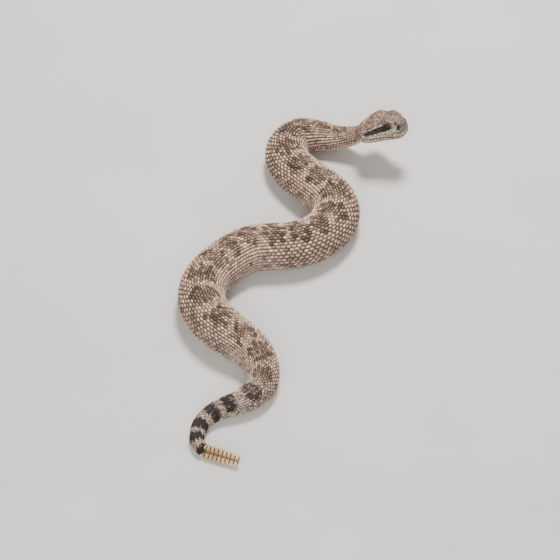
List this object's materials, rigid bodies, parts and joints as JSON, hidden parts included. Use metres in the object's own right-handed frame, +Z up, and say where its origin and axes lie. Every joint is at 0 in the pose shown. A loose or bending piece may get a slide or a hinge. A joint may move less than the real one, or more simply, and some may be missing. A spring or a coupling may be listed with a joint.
{
  "type": "rattlesnake",
  "caption": "Life-size still model of a rattlesnake lying in S-bends on its belly, head raised, mouth closed, rattle on its side.",
  "frame": {"origin": "under the middle of the plan, on the plane of the belly's flats", "axes": "+Z up, +Y from the rattle's end towards the head's end along the longest extent, +X the way that the head points"},
  "size_m": [0.2341, 0.4513, 0.0617],
  "materials": {
    "skin": "matt keeled scales, taupe with brown blotches",
    "pale_skin": "satin smooth scales, pale grey-cream",
    "tail_skin": "matt keeled scales, black and pale grey rings",
    "horn": "dry horn, cream to tan",
    "eye": "wet dark eye"
  },
  "bodies": {
    "root": {"head": "skin", "lower_jaw": "pale_skin", "eye_left": "eye", "eye_right": "eye", "neck": "skin", "torso_1": "skin", "torso_2": "skin", "torso_3": "skin", "torso_4": "skin", "torso_5": "skin", "torso_6": "skin", "tail_1": "tail_skin", "tail_2": "tail_skin", "rattle": "horn"}
  },
  "joints": []
}
